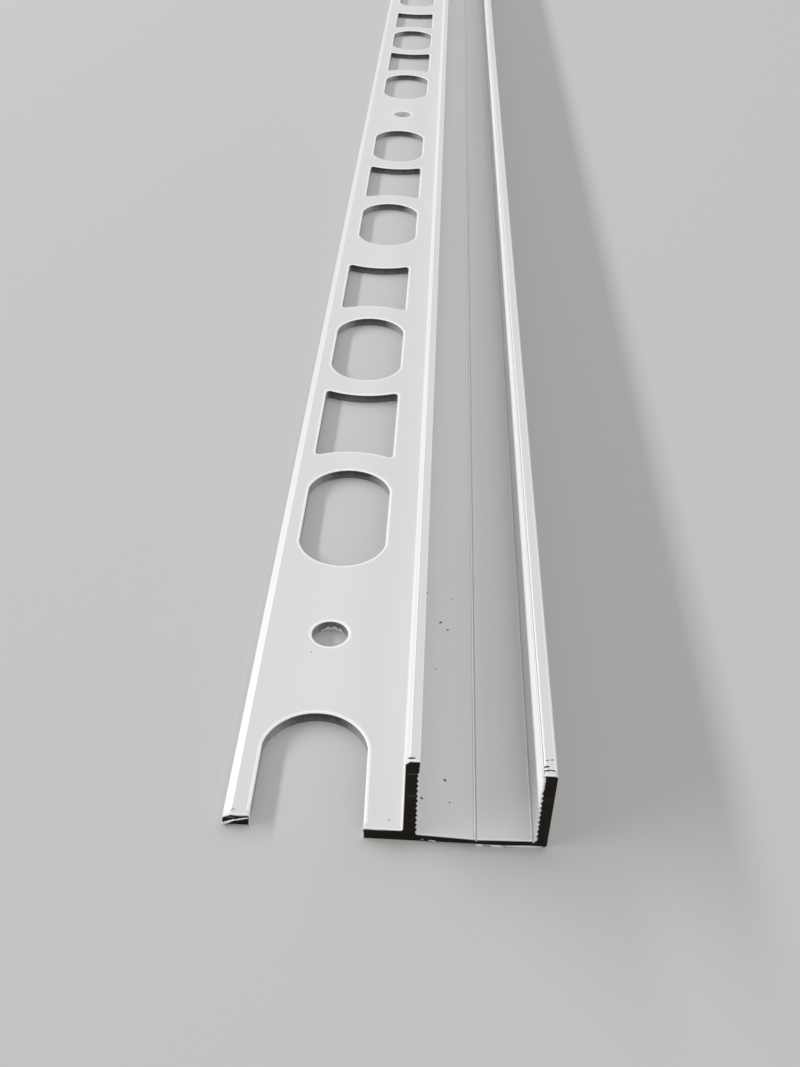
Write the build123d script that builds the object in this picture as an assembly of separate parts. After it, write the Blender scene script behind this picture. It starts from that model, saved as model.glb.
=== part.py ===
from build123d import *
import math
import os

# A length of tile trim extruded in one piece from aluminium: a U channel for a 12 mm light strip, with a
# punched anchoring leg along its left side. Millimetres. The stock runs along Y, the leg is on the -X side,
# and the underside lies on Z = 0, under the middle of the piece.

# Stock
LENGTH = 1000.0  # as sold

# Anchoring leg
LEG_WIDTH = 19.3  # outer edge to the face of the tall wall
LEG_THICKNESS = 1.5
BEVEL_WIDTH = 0.9  # along the top of the leg's outer edge
BEVEL_DEPTH = 0.5

# Channel
WALL_THICKNESS = 1.4
CHANNEL_WIDTH = 12.5  # between the faces of the walls, below the lips
FLOOR_THICKNESS = 1.0
TALL_WALL_HEIGHT = 12.5  # beside the leg, from the underside
FREE_WALL_HEIGHT = 11.3
LIP_HEIGHT = 1.7  # plain band along the top of the tall wall's inner face
HOOK_HEIGHT = 0.4  # small lip along the top of the free wall's inner face
LIP_DEPTH = 0.1
SCRIBE_WIDTH = 0.5  # V line along the middle of the floor
SCRIBE_DEPTH = 0.2

# Edges of the section
FOOT_FILLET = 0.35  # where the tall wall rises from the leg
SHOULDER_CHAMFER = 0.45  # outer top edge of the tall wall
FREE_EDGE_RADIUS = 0.3  # outer top edge of the free wall
HEEL_RADIUS = 0.4  # outer bottom edge of the free wall
FLOOR_FILLET = 0.2  # inner corners of the channel

# Punched holes
HOLE_LINE = 8.9  # middle of the holes, from the leg's outer edge
PITCH = 25.0
TOOL_GAP = 31.25  # last hole of one stroke to the first of the next
TOOL_SHIFT = 0.8  # strokes after the first sit this far nearer the channel
STROKE = ("slot", "square", "slot", "screw", "slot", "square", "slot", "square")
SAWN_STROKE = STROKE[2:]  # what the saw cut leaves of the first stroke
SAWN_HOLE_DISTANCE = 5.1  # middle of the slot that the saw cut goes through, from the sawn end
SLOT_WIDTH = 12.0
SLOT_LENGTH = 22.8
SLOT_END_RADIUS = 6.1
SQUARE_WIDTH = 12.0
SQUARE_LENGTH = 17.0  # along its middle, where the hollow ends are nearest
SQUARE_END_RADIUS = 13.5
SQUARE_CORNER_RADIUS = 0.6
SCREW_HOLE_DIAMETER = 4.6
PUNCH_CLEARANCE = 1.0  # how far the punch passes both faces of the leg
PRONG_SHORTFALL = 1.2  # the outer prong beside the sawn slot broke off this much short

# Places across the section
total_width = LEG_WIDTH + CHANNEL_WIDTH + 2 * WALL_THICKNESS
leg_edge = -total_width / 2
tall_face = leg_edge + LEG_WIDTH
channel_left = tall_face + WALL_THICKNESS
channel_right = channel_left + CHANNEL_WIDTH
free_face = channel_right + WALL_THICKNESS
hole_line = leg_edge + HOLE_LINE
sawn_end = -LENGTH / 2


def band(x_from, x_to, z_from, z_to):
    """Rectangle of the section between two corners."""
    middle = Pos((x_from + x_to) / 2, (z_from + z_to) / 2)
    return middle * Rectangle(x_to - x_from, z_to - z_from)


def corner(section, x, z):
    """The section's corner at a place."""
    return section.vertices().sort_by_distance(Vector(x, z))[0]


def make_section():
    """Leg, floor and walls as one outline, with its lips, bevels and small radii."""
    tall_lip_z = TALL_WALL_HEIGHT - LIP_HEIGHT
    hook_z = FREE_WALL_HEIGHT - HOOK_HEIGHT
    section = band(leg_edge, tall_face, 0, LEG_THICKNESS)
    section += band(tall_face, channel_left, 0, TALL_WALL_HEIGHT)
    section += band(channel_left, channel_right, 0, FLOOR_THICKNESS)
    section += band(channel_right, free_face, 0, FREE_WALL_HEIGHT)
    section += band(channel_left, channel_left + LIP_DEPTH, tall_lip_z, TALL_WALL_HEIGHT)
    section += band(channel_right - LIP_DEPTH, channel_right, hook_z, FREE_WALL_HEIGHT)

    section = fillet(corner(section, tall_face, LEG_THICKNESS), FOOT_FILLET)
    section = chamfer(corner(section, tall_face, TALL_WALL_HEIGHT), SHOULDER_CHAMFER)
    section = fillet(corner(section, free_face, FREE_WALL_HEIGHT), FREE_EDGE_RADIUS)
    section = fillet(corner(section, free_face, 0), HEEL_RADIUS)
    section = fillet(corner(section, channel_left, FLOOR_THICKNESS), FLOOR_FILLET)
    section = fillet(corner(section, channel_right, FLOOR_THICKNESS), FLOOR_FILLET)

    bevel = Polyline(
        (leg_edge, LEG_THICKNESS - BEVEL_DEPTH),
        (leg_edge + BEVEL_WIDTH, LEG_THICKNESS),
        (leg_edge, LEG_THICKNESS),
        close=True,
    )
    floor_middle = (channel_left + channel_right) / 2
    scribe = Polyline(
        (floor_middle - SCRIBE_WIDTH / 2, FLOOR_THICKNESS),
        (floor_middle + SCRIBE_WIDTH / 2, FLOOR_THICKNESS),
        (floor_middle, FLOOR_THICKNESS - SCRIBE_DEPTH),
        close=True,
    )
    return section - make_face(bevel) - make_face(scribe)


def slot_hole():
    """Barrel slot: straight sides, and ends of a radius a little over half the width."""
    between_ends = SLOT_LENGTH - 2 * SLOT_END_RADIUS
    round_slot = Rot(0, 0, 90) * SlotCenterToCenter(between_ends, 2 * SLOT_END_RADIUS)
    return round_slot & Rectangle(SLOT_WIDTH, SLOT_LENGTH)


def square_hole():
    """Square hole whose two ends are hollow, so that the webs beside the slots keep their width."""
    half_width = SQUARE_WIDTH / 2
    hollow = SQUARE_END_RADIUS - math.sqrt(SQUARE_END_RADIUS**2 - half_width**2)
    hole = Rectangle(SQUARE_WIDTH, SQUARE_LENGTH + 2 * hollow)
    for end in (-1, 1):
        hole -= Pos(0, end * (SQUARE_LENGTH / 2 + SQUARE_END_RADIUS)) * Circle(SQUARE_END_RADIUS)
    return fillet(hole.vertices(), SQUARE_CORNER_RADIUS)


def screw_hole():
    """Round hole for a fixing screw."""
    return Circle(SCREW_HOLE_DIAMETER / 2)


def hole_places():
    """Kind, X and Y of every hole, stroke by stroke, from the sawn end to past the far end."""
    places = []
    stroke = SAWN_STROKE
    x = hole_line
    y = sawn_end + SAWN_HOLE_DISTANCE
    while y < LENGTH / 2:
        places += [(kind, x, y + step * PITCH) for step, kind in enumerate(stroke)]
        y += (len(stroke) - 1) * PITCH + TOOL_GAP
        x = hole_line + TOOL_SHIFT
        stroke = STROKE
    return places


def make_punches():
    """A punch for every hole, long enough to pass both faces of the leg."""
    shapes = {"slot": slot_hole(), "square": square_hole(), "screw": screw_hole()}
    depth = LEG_THICKNESS + 2 * PUNCH_CLEARANCE
    return [
        Pos(x, y, -PUNCH_CLEARANCE) * extrude(shapes[kind], depth)
        for kind, x, y in hole_places()
    ]


def make_prong_break():
    """What is missing from the end of the outer prong."""
    height = LEG_THICKNESS + 2 * PUNCH_CLEARANCE
    missing = Box(2 * HOLE_LINE, 2 * PRONG_SHORTFALL, height)
    return Pos(leg_edge, sawn_end, LEG_THICKNESS / 2) * missing


def make_profile():
    """The extruded length with its punched leg."""
    bar = extrude(Plane.XZ * make_section(), LENGTH / 2, both=True)
    profile = bar - make_punches() - make_prong_break()
    profile.label = "trim_profile"
    return profile


os.makedirs("parts", exist_ok=True)
export_step(make_profile(), "parts/trim_profile.step")
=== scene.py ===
"""Looks of the aluminium trim profile: a satin anodised extrusion with a punched leg and a rough sawn end.

Shapes are worked out in millimetres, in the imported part's own frame, and go into the meshes in metres: the stock
runs along Y, its leg is on the -X side, and its underside lies on Z = 0.
"""

import logging
import math
from collections.abc import Mapping, Sequence
from dataclasses import dataclass, field
from enum import Enum, IntEnum
from typing import Any

import bpy
import numpy as np
from mathutils import Matrix, Vector
from mathutils.geometry import delaunay_2d_cdt


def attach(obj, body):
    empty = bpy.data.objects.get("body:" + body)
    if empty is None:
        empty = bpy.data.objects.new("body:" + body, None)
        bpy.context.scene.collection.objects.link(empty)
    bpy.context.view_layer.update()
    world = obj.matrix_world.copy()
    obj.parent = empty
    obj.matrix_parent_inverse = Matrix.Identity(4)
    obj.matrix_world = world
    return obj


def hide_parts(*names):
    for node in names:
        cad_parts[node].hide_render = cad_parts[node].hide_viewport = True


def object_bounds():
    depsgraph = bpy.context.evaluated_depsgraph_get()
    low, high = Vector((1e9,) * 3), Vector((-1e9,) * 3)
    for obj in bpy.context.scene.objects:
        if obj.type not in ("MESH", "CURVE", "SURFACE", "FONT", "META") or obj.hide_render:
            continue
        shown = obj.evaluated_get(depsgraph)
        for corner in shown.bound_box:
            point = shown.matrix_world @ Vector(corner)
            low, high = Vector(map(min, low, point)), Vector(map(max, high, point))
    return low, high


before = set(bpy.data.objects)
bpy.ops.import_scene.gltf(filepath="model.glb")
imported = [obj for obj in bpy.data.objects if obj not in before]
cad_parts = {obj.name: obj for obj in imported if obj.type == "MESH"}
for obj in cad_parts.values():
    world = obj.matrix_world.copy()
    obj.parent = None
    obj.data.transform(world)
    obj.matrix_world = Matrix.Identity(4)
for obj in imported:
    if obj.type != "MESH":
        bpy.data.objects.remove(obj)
CAD_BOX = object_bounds()

MM = 0.001
BODY = "root"
NODE = "trim_profile"
POLISH_AND_HIGHLIGHT = "polish_and_highlight"
Colour = tuple[float, float, float]

log = logging.getLogger("trim_profile")


class Finish(IntEnum):
    """Finishes of the metal, in the order of the material slots."""

    SATIN = 0
    PUNCHED = 1
    SAWN = 2
    BURR = 3
    PIT = 4


class Hole(Enum):
    """Kinds of punched hole."""

    SLOT = "slot"
    SQUARE = "square"
    SCREW = "screw"


def unit(vectors: np.ndarray) -> np.ndarray:
    """Each vector divided by its length."""
    return vectors / np.linalg.norm(vectors, axis=-1, keepdims=True)


def outward(vectors: np.ndarray) -> np.ndarray:
    """Each vector of the section turned a quarter to the left, which is outwards on a clockwise outline."""
    return np.stack([-vectors[..., 1], vectors[..., 0]], axis=-1)


def ragged(places: np.ndarray, wavelength: float, seed: int) -> np.ndarray:
    """Uneven torn edge: four sine waves of falling length and random phase, added up and brought to 0 to 1.

    Args:
        places: distances along the edge, in mm.
        wavelength: length of the longest wave, in mm.
        seed: picks the phases.

    Returns:
        One value from 0 to 1 for each place.
    """
    chance = np.random.default_rng(seed)
    waves = wavelength / np.array([1.0, 2.3, 4.7, 9.1])
    phases = chance.uniform(0.0, math.tau, len(waves))
    heights = np.array([0.4, 0.3, 0.2, 0.1])
    total = (heights * np.sin(math.tau * places[..., None] / waves + phases)).sum(axis=-1)
    return 0.5 + 0.5 * total


@dataclass(frozen=True)
class Outline:
    """An open line of the section, clockwise seen from the sawn end, so that its left side is outwards.

    Attributes:
        points: X and Z of each point.
        polish_and_highlight: 1 on rounded outer edges, which the finish brightens as rubbed metal and as a painted
            highlight, and 0 elsewhere.
    """

    points: np.ndarray
    polish_and_highlight: np.ndarray


def rounded(corners: np.ndarray, steps: int = 4, guard: float = 0.05) -> Outline:
    """Rounds the corners of a line of the section.

    An arc leaves the incoming side at radius times the tangent of half the turn. Its points are the arc's centre
    plus the radius times the side's normal, turned evenly through the corner's turn. A guard point on each side of
    the arc keeps the flats flat.

    Args:
        corners: X, Z and radius of each corner; the first and last are the line's ends.
        steps: straight pieces in an arc.
        guard: distance from an arc to its guard points.

    Returns:
        The rounded line, with sharp corners kept where the radius is 0.
    """
    point, radius = corners[:, :2], corners[1:-1, 2:]
    along = unit(np.diff(point, axis=0))
    before, after = along[:-1], along[1:]
    turn = np.arctan2(
        before[:, 0] * after[:, 1] - before[:, 1] * after[:, 0], (before * after).sum(axis=1)
    )[:, None]
    side = -np.sign(turn)
    reach = radius * np.tan(np.abs(turn) / 2)
    start, end = point[1:-1] - reach * before, point[1:-1] + reach * after
    normal = outward(before)
    angle = turn * np.linspace(0.0, 1.0, steps + 1)
    turned = np.stack(
        [
            normal[:, :1] * np.cos(angle) - normal[:, 1:] * np.sin(angle),
            normal[:, :1] * np.sin(angle) + normal[:, 1:] * np.cos(angle),
        ],
        axis=-1,
    )
    arc = (start - side * radius * normal)[:, None] + (side * radius)[:, None] * turned
    spare = guard * (radius > 0)
    corner = np.concatenate([(start - spare * before)[:, None], arc, (end + spare * after)[:, None]], axis=1)
    bright = np.zeros(corner.shape[:2])
    bright[:, 1:-1] = (side > 0) * (radius > 0)
    points = np.concatenate([point[:1], corner.reshape(-1, 2), point[-1:]])
    polish_and_highlight = np.concatenate([[0.0], bright.ravel(), [0.0]])
    least_step = 1e-5
    fresh = np.concatenate([[True], np.linalg.norm(np.diff(points, axis=0), axis=1) > least_step])
    return Outline(points[fresh], polish_and_highlight[fresh])


def loop_room(loop: np.ndarray) -> tuple[np.ndarray, np.ndarray]:
    """Space beside each point of a closed loop of the section.

    Two points face each other over a groove or ridge where the way between them along the loop is more than twice
    their distance.

    Args:
        loop: X and Z of each point.

    Returns:
        The shorter of the two steps beside each point, and its distance to the nearest point that faces it.
    """
    step = np.linalg.norm(loop - np.roll(loop, 1, axis=0), axis=1)
    walk = np.cumsum(step)
    between = np.abs(walk[:, None] - walk)
    between = np.minimum(between, walk[-1] - between)
    gap = np.linalg.norm(loop[:, None] - loop, axis=-1)
    facing = np.where(between > 2 * gap, gap, walk[-1]).min(axis=1)
    return np.minimum(step, np.roll(step, -1)), facing


def at(points: np.ndarray, y: np.ndarray | float) -> np.ndarray:
    """Places points of the section (X, Z) at Y."""
    return np.stack(np.broadcast_arrays(points[..., 0], y, points[..., 1]), axis=-1)


class Shell:
    """Patches of one closed surface, gathered in millimetres and welded where their points meet."""

    def __init__(self) -> None:
        """Starts with no patch."""
        self.points: list[np.ndarray] = []
        self.polish_and_highlight: list[np.ndarray] = []
        self.faces: list[np.ndarray] = []
        self.finishes: list[np.ndarray] = []
        self.count = 0

    def add(self, points: np.ndarray, faces: np.ndarray, finish: np.ndarray | int, polish_and_highlight: np.ndarray | float) -> None:
        """Adds a patch.

        Args:
            points: its points, one row each.
            faces: rows of point numbers, three or four to a row, anticlockwise seen from outside.
            finish: the finish of all faces or of each.
            polish_and_highlight: how polished all points are, or each.
        """
        self.points.append(points)
        self.polish_and_highlight.append(np.broadcast_to(polish_and_highlight, len(points)))
        self.faces.append(faces + self.count)
        self.finishes.append(np.broadcast_to(finish, len(faces)))
        self.count += len(points)

    def grid(
        self,
        points: np.ndarray,
        finish: np.ndarray | int,
        polish_and_highlight: np.ndarray | float = 0.0,
        closed: bool = False,
        inward: bool = False,
    ) -> None:
        """Adds a surface of two parameters as four-sided faces.

        Args:
            points: rows by columns by 3; a face's normal is its step along a row crossed with its step to the next.
            finish: one finish, or one for each strip between rows.
            polish_and_highlight: one value, or one for each point.
            closed: joins the last column to the first.
            inward: turns the faces round.
        """
        rows, columns = points.shape[:2]
        number = np.arange(rows * columns).reshape(rows, columns)
        if closed:
            number = np.concatenate([number, number[:, :1]], axis=1)
        faces = np.stack([number[:-1, :-1], number[:-1, 1:], number[1:, 1:], number[1:, :-1]], axis=-1)
        across = faces.shape[1]
        faces = faces.reshape(-1, 4)
        if inward:
            faces = faces[:, ::-1]
        kinds = np.repeat(finish, across) if np.ndim(finish) else finish
        shine = np.broadcast_to(polish_and_highlight, (rows, columns)).ravel()
        self.add(points.reshape(-1, 3), faces, kinds, shine)

    def zipper(self, dense: np.ndarray, sparse: np.ndarray, inward: bool = False) -> None:
        """Adds the flat strip between a row of many points and the two ends of a long step beside it.

        The first half of the dense row fans to the first sparse point and the rest to the second.

        Args:
            dense: the row of many points.
            sparse: the two points beside the row's ends.
            inward: turns the faces round.
        """
        steps = len(dense) - 1
        half = steps // 2
        number = np.arange(steps)
        tip = np.where(number < half, steps + 1, steps + 2)
        faces = np.concatenate(
            [np.stack([number, number + 1, tip], axis=1), [[half, steps + 2, steps + 1]]]
        )
        self.add(np.concatenate([dense, sparse]), faces[:, ::-1] if inward else faces, Finish.SATIN, 0.0)

    def cap(self, loop: np.ndarray, finish: int, forward: bool) -> None:
        """Closes a loop of points that lie in a plane across the stock, with Delaunay triangles inside the loop.

        Args:
            loop: the points, clockwise seen from the sawn end.
            finish: the finish of the cap.
            forward: True where the cap faces the far end.
        """
        flat = [Vector(pair) for pair in loop[:, [0, 2]]]
        inside_only, merge_distance = 1, 1e-7
        found = delaunay_2d_cdt(flat, [], [list(range(len(flat)))[::-1]], inside_only, merge_distance)
        source = np.array([originals[0] for originals in found[3]])
        faces = source[np.array(found[2])]
        self.add(loop, faces[:, ::-1] if forward else faces, finish, 0.0)

    def build(self, name: str, materials: Sequence[bpy.types.Material], sharp_angle: float) -> bpy.types.Object:
        """Welds the patches and makes the piece.

        Args:
            name: the piece's name.
            materials: the material of each finish.
            sharp_angle: edges that turn more than this stay sharp, in radians.

        Returns:
            The new object, at the origin.
        """
        points, polish_and_highlight = np.concatenate(self.points), np.concatenate(self.polish_and_highlight)
        weld, off_the_border = 1e-4, 0.137
        keys = np.round(points / weld + off_the_border).astype(np.int64)
        _, first, number = np.unique(keys, axis=0, return_index=True, return_inverse=True)
        number = number.ravel()
        rows = [row for faces in self.faces for row in number[faces].tolist()]
        mesh = bpy.data.meshes.new(name)
        mesh.from_pydata((points[first] * MM).tolist(), [], rows)
        mesh.polygons.foreach_set("material_index", np.concatenate(self.finishes).astype(np.int32))
        mesh.polygons.foreach_set("use_smooth", np.ones(len(mesh.polygons), bool))
        shine = mesh.attributes.new(POLISH_AND_HIGHLIGHT, "FLOAT", "POINT")
        shine.data.foreach_set("value", polish_and_highlight[first].astype(np.float32))
        mesh.set_sharp_from_angle(angle=sharp_angle)
        for material in materials:
            mesh.materials.append(material)
        mesh.validate()
        mesh.update()
        piece = bpy.data.objects.new(name, mesh)
        bpy.context.scene.collection.objects.link(piece)
        return piece


@dataclass(frozen=True)
class Section:
    """The extruded section: a leg, a channel floor and two ribbed walls. All sizes in mm.

    Its line is a list of corners, each X, Z and a radius, which is 0 where the corner stays sharp. A slope or side
    is how far a small edge leans, a rise stands into the channel and a depth goes into the metal.
    """

    leg_width: float = 19.3
    leg_thickness: float = 1.5
    bevel_width: float = 0.9
    bevel_depth: float = 0.5
    wall: float = 1.4
    channel_width: float = 12.5
    floor: float = 1.0
    tall_height: float = 12.44
    free_height: float = 11.3
    shoulder_chamfer: float = 0.45
    foot_fillet: float = 0.35
    floor_fillet: float = 0.2
    heel_radius: float = 0.4
    free_edge_radius: float = 0.28
    crisp_radius: float = 0.1
    heel_of_leg_radius: float = 0.15
    shoulder_radius: float = 0.05
    land_line_gap: float = 0.12
    land_line_width: float = 0.08
    land_line_depth: float = 0.04
    lip_height: float = 1.7
    lip_rise: float = 0.05
    lip_radius: float = 0.06
    hook_height: float = 0.27
    hook_rise: float = 0.1
    hook_under_slope: float = 0.02
    hook_edge_drop: float = 0.07
    hook_line: float = 0.17
    hook_line_depth: float = 0.15
    hook_line_slope: float = 0.02
    hook_ridge: float = 0.04
    hook_chamfer: float = 0.12
    hook_chamfer_drop: float = 0.06
    hook_chamfer_radius: float = 0.03
    hook_groove: float = 0.12
    recess_bottom: float = 9.0
    recess_slope: float = 0.02
    recess_depth: float = 0.12
    teeth: int = 2
    tooth_depth: float = 0.06
    rib_pitch: float = 0.74
    rib_rise: float = 0.04
    rib_depth: float = 0.17
    rib_start: float = 1.45
    wall_lean: float = 0.09
    foot_line: float = 0.39
    foot_bead: float = 0.2
    foot_bead_slope: float = 0.05
    foot_groove: float = 0.15
    foot_groove_width: float = 0.11
    foot_groove_slope: float = 0.02
    foot_step: float = 0.03
    foot_ramp: float = 0.1
    foot_ramp_rise: float = 0.16
    scribe_width: float = 0.4
    scribe_depth: float = 0.22
    scribe_cut: float = 0.13
    scribe_slope: float = 0.02
    scribe_dip: float = 0.05
    scribe_dip_depth: float = 0.066
    scribe_bead: float = 0.11
    bead_rise: float = 0.035
    bead_side: float = 0.03
    bead_radius: float = 0.02
    # Painted highlight: these sizes mark the free wall's face above the tall wall's shadow, its hook top and the
    # floor's beads, which take the bright edge colour.
    lit_band_bottom: float = 5.6
    lit_band_side: float = 0.06
    highlight_reach: float = 0.05
    highlight_drop: float = 0.12
    highlight_near: float = 0.01
    seam_gap: float = 0.6
    panel_left_gap: float = 2.1
    panel_right_gap: float = 2.7

    @property
    def width(self) -> float:
        """Whole width."""
        return self.leg_width + self.channel_width + 2 * self.wall

    @property
    def leg_edge(self) -> float:
        """X of the leg's outer edge."""
        return -self.width / 2

    @property
    def tall_face(self) -> float:
        """X of the tall wall's outer face."""
        return self.leg_edge + self.leg_width

    @property
    def channel_left(self) -> float:
        """X of the tall wall's inner face."""
        return self.tall_face + self.wall

    @property
    def channel_right(self) -> float:
        """X of the free wall's inner face."""
        return self.channel_left + self.channel_width

    @property
    def free_face(self) -> float:
        """X of the free wall's outer face."""
        return self.channel_right + self.wall

    @property
    def panel(self) -> tuple[float, float]:
        """X of the two sides of the part of the leg that holds the holes."""
        return self.leg_edge + self.panel_left_gap, self.tall_face - self.panel_right_gap

    @property
    def seams(self) -> tuple[float, float]:
        """X where the plain strips beside the panel start."""
        return self.panel[0] - self.seam_gap, self.panel[1] + self.seam_gap

    def ribs(self, face: float, side: int, low: float, high: float, lean: float) -> np.ndarray:
        """Saw-tooth line up a wall: roots and tips in turn, half a pitch apart, on a face that leans evenly.

        Args:
            face: X of the wall's inner face.
            side: +1 where the channel is on the face's +X side, else -1.
            low: lowest root.
            high: highest root.
            lean: how far the face stands into the channel at its foot.

        Returns:
            Corners from the lowest up, with no radius.
        """
        count = int((high - low) / self.rib_pitch)
        step = np.arange(2 * count + 1)
        pitch = (high - low) / count
        reach = np.where(step % 2 == 1, self.rib_rise, self.rib_rise - self.rib_depth)
        reach = reach + lean * (1 - step / step[-1])
        return np.stack([face + side * reach, low + step * pitch / 2, np.zeros(len(step))], axis=1)

    def leg_side(self) -> Outline:
        """The leg's outer strip: from the seam along the underside, round the bevelled edge, back to the seam."""
        edge, top = self.leg_edge, self.leg_thickness
        corners = [
            (self.seams[0], 0.0, 0.0),
            (edge, 0.0, self.heel_of_leg_radius),
            (edge, top - self.bevel_depth, self.crisp_radius),
            (edge + self.bevel_width, top, self.crisp_radius),
            (self.seams[0], top, 0.0),
        ]
        return rounded(np.array(corners))

    def channel_side(self) -> Outline:
        """The channel: from the seam up the tall wall, down its ribs, over the floor and round the free wall.

        The upper part of the free wall, lit by the left lamp above the tall wall's shadow, the top of its hook and the
        two small beads on the floor take a painted highlight, the bright edge colour: they are found by the places of
        their points.
        """
        left, right = self.channel_left, self.channel_right
        top, floor, bead = self.free_height, self.floor, self.floor + self.bead_rise
        lip = left + self.lip_rise
        lip_foot = self.tall_height - self.lip_height
        shoulder = self.tall_face + self.shoulder_chamfer
        land_line = shoulder + self.land_line_gap
        recess = right + self.recess_depth
        groove = recess + self.hook_groove / 2
        hook = right - self.hook_rise
        hook_foot = top - self.hook_height
        line_end = hook + self.hook_line
        ridge = hook + self.hook_line / 2
        tall_ribs = self.ribs(left, 1, self.rib_start, lip_foot, self.wall_lean)[::-1]
        free_ribs = self.ribs(right, -1, self.rib_start, self.recess_bottom, -self.wall_lean)
        foot_left, foot_right = tall_ribs[-1, 0], free_ribs[0, 0]
        foot_line = foot_right - self.foot_line
        foot_bead = foot_line - self.foot_bead
        groove_end = foot_line + self.foot_groove_width
        middle = (left + right) / 2
        scribe_left, scribe_right = middle - self.scribe_width / 2, middle + self.scribe_width / 2
        cut = scribe_right - self.scribe_cut
        half_tooth = (hook_foot - self.hook_groove - self.recess_bottom) / (4 * self.teeth)
        climb = [
            (self.seams[1], self.leg_thickness, 0.0),
            (self.tall_face, self.leg_thickness, self.foot_fillet),
            (self.tall_face, self.tall_height - self.shoulder_chamfer, self.crisp_radius),
            (shoulder, self.tall_height, self.shoulder_radius),
            (land_line - self.land_line_width / 2, self.tall_height, 0.0),
            (land_line, self.tall_height - self.land_line_depth, 0.0),
            (land_line + self.land_line_width / 2, self.tall_height, 0.0),
            (lip, self.tall_height, self.lip_radius),
            (lip, lip_foot, 0.0),
        ]
        bottom = [
            (foot_left, floor, self.floor_fillet),
            (scribe_left, floor, 0.0),
            (scribe_left + self.scribe_dip, floor - self.scribe_dip_depth, 0.0),
            (scribe_left + self.scribe_bead, bead, self.bead_radius),
            (cut - self.bead_side, bead, self.bead_radius),
            (cut, floor - self.scribe_depth, 0.0),
            (scribe_right - self.scribe_slope, floor - self.scribe_depth, 0.0),
            (scribe_right, floor, 0.0),
            (foot_bead, floor, 0.0),
            (foot_bead + self.foot_bead_slope, bead, self.bead_radius),
            (foot_line - self.bead_side, bead, self.bead_radius),
            (foot_line, floor - self.foot_groove, 0.0),
            (groove_end, floor - self.foot_groove, 0.0),
            (groove_end + self.foot_groove_slope, floor + self.foot_step, 0.0),
            (foot_right - self.foot_ramp, floor + self.foot_ramp_rise, 0.0),
        ]
        teeth = [
            (recess - self.tooth_depth * (step % 2), self.recess_bottom + (step + 2) * half_tooth, 0.0)
            for step in range(2 * self.teeth + 1)
        ]
        crest = [
            (recess, hook_foot - self.hook_groove / 2, 0.0),
            (groove, hook_foot - self.hook_groove / 3, 0.0),
            (groove, hook_foot, 0.0),
            (hook, hook_foot + self.hook_under_slope, 0.0),
            (hook, top - self.hook_edge_drop, 0.0),
            (ridge - self.hook_ridge, top - self.hook_ridge, 0.0),
            (ridge - self.hook_line_slope, top - self.hook_line_depth, 0.0),
            (line_end, top - self.hook_line_depth, 0.0),
            (line_end, top - self.hook_chamfer_drop, self.bead_radius),
            (line_end + self.hook_chamfer, top, self.hook_chamfer_radius),
            (self.free_face, top, self.free_edge_radius),
            (self.free_face, 0.0, self.heel_radius),
            (self.seams[1], 0.0, 0.0),
        ]
        recess_foot = [(recess, self.recess_bottom + self.recess_slope, 0.0)]
        outline = rounded(np.concatenate([climb, tall_ribs, bottom, free_ribs, recess_foot, teeth, crest]))
        x, z = outline.points.T
        # Painted light: the bright edge colour goes on the lit band of the free wall, the hook's top and the beads.
        near = self.highlight_near
        upper = (z > self.lit_band_bottom) & (z < hook_foot + near)
        upper &= (x > right - self.lit_band_side) & (x < groove + near)
        hook_side = (np.abs(x - hook) < near) & (z > hook_foot)
        hook_top = (x > hook - near) & (x < line_end + self.hook_chamfer + self.highlight_reach)
        hook_top &= z > top - self.highlight_drop
        beads = np.abs(z - bead) < self.bead_rise / 3
        beads &= ((x > scribe_left) & (x < scribe_right)) | ((x > foot_bead) & (x < foot_line))
        painted_highlight = upper | hook_side | hook_top | beads
        return Outline(outline.points, np.where(painted_highlight, 1.0, outline.polish_and_highlight))


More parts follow.
